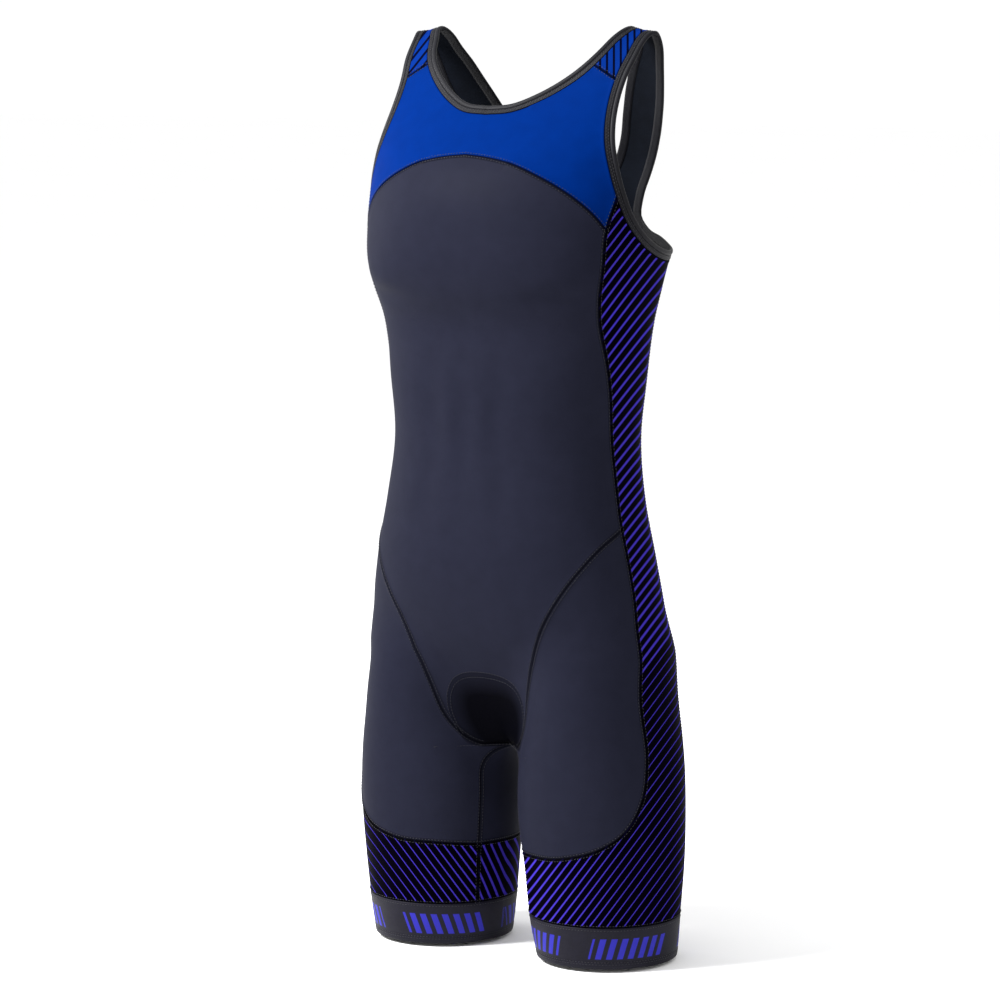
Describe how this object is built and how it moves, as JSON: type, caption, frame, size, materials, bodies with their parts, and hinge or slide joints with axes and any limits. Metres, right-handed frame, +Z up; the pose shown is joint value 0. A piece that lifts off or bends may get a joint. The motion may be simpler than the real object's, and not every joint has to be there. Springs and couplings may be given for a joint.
{
  "type": "triathlon suit",
  "caption": "Sleeveless one-piece sports suit with a scooped neck, racer back, striped sides, short legs with elastic hems, and a seat pad.",
  "frame": {"origin": "where the wearer's shoulders hold the suit: midway between the two shoulder straps, on the shoulder line", "axes": "+Z up, the suit hanging as worn; the wearer faces -Y; +X is the wearer's left"},
  "size_m": [0.3624, 0.229, 0.9286],
  "materials": {
    "yoke_lycra": "matte stretch knit, bright blue",
    "body_lycra": "matte stretch knit, dark slate",
    "striped_lycra": "near-black stretch knit printed with slanted violet-blue stripes",
    "strap_lycra": "bright blue stretch knit printed with slanted black stripes",
    "binding_knit": "charcoal folded elastic binding",
    "gripper_knit": "charcoal elastic leg gripper with short slanted blue dashes",
    "pad_foam": "dark thin foam pad with a brushed knit face"
  },
  "bodies": {
    "root": {"arm_binding_left": "binding_knit", "arm_binding_right": "binding_knit", "back_panel": "body_lycra", "front_panel": "body_lycra", "gripper_left": "gripper_knit", "gripper_right": "gripper_knit", "neck_binding": "binding_knit", "seat_pad": "pad_foam", "side_left": "striped_lycra", "side_right": "striped_lycra", "strap_left": "strap_lycra", "strap_right": "strap_lycra", "thigh_back_left": "body_lycra", "thigh_back_right": "body_lycra", "thigh_front_left": "body_lycra", "thigh_front_right": "body_lycra", "yoke": "yoke_lycra"}
  },
  "joints": []
}
